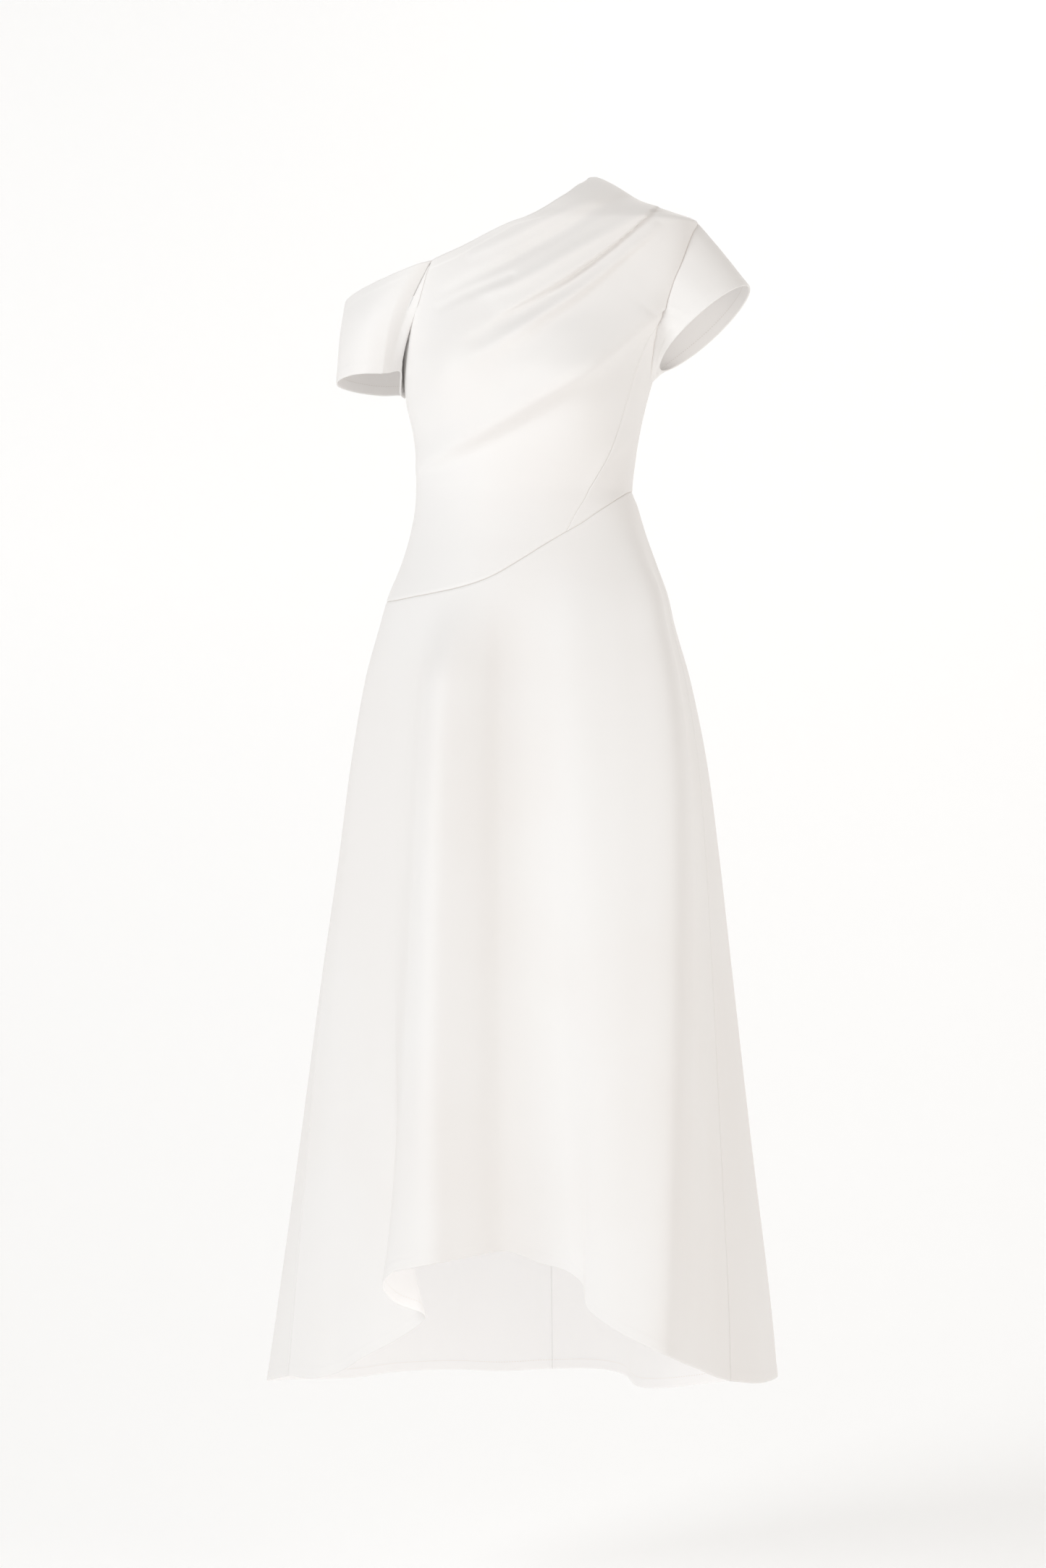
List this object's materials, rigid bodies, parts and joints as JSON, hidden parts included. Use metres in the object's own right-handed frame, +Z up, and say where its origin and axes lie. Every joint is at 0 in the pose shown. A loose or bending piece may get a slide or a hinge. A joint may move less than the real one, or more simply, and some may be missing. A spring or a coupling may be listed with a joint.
{
  "type": "dress",
  "caption": "Hollow worn form of a long one-shoulder dress with a draped bodice, a cap sleeve, an off-shoulder sleeve and a flared high-low skirt.",
  "frame": {"origin": "where the wearer's left shoulder carries the dress, at the middle of the shoulder seam", "axes": "+Z up along the worn dress, -Y the front, +X the wearer's left, the side of the cap sleeve"},
  "size_m": [0.59, 0.5453, 1.4009],
  "materials": {
    "crepe": "ivory satin-backed crepe, matt face with a soft sheen",
    "tape": "woven zip tape",
    "zip_metal": "ivory painted"
  },
  "bodies": {
    "dress": {"bodice_front": "crepe", "bodice_side_front": "crepe", "bodice_back_left": "crepe", "bodice_back_right": "crepe", "skirt_front": "crepe", "skirt_back_left": "crepe", "skirt_back_right": "crepe", "sleeve_cap": "crepe", "sleeve_off_shoulder": "crepe", "zip_tape": "tape", "zip_slider": "zip_metal"},
    "pull": {"zip_pull": "zip_metal"}
  },
  "joints": [
    {"name": "pull_swing", "type": "hinge", "parent": "dress", "child": "pull", "pos_m": [-0.14, 0.08978, -0.04236], "axis": [1, 0, 0], "range_deg": [0, 150]}
  ]
}
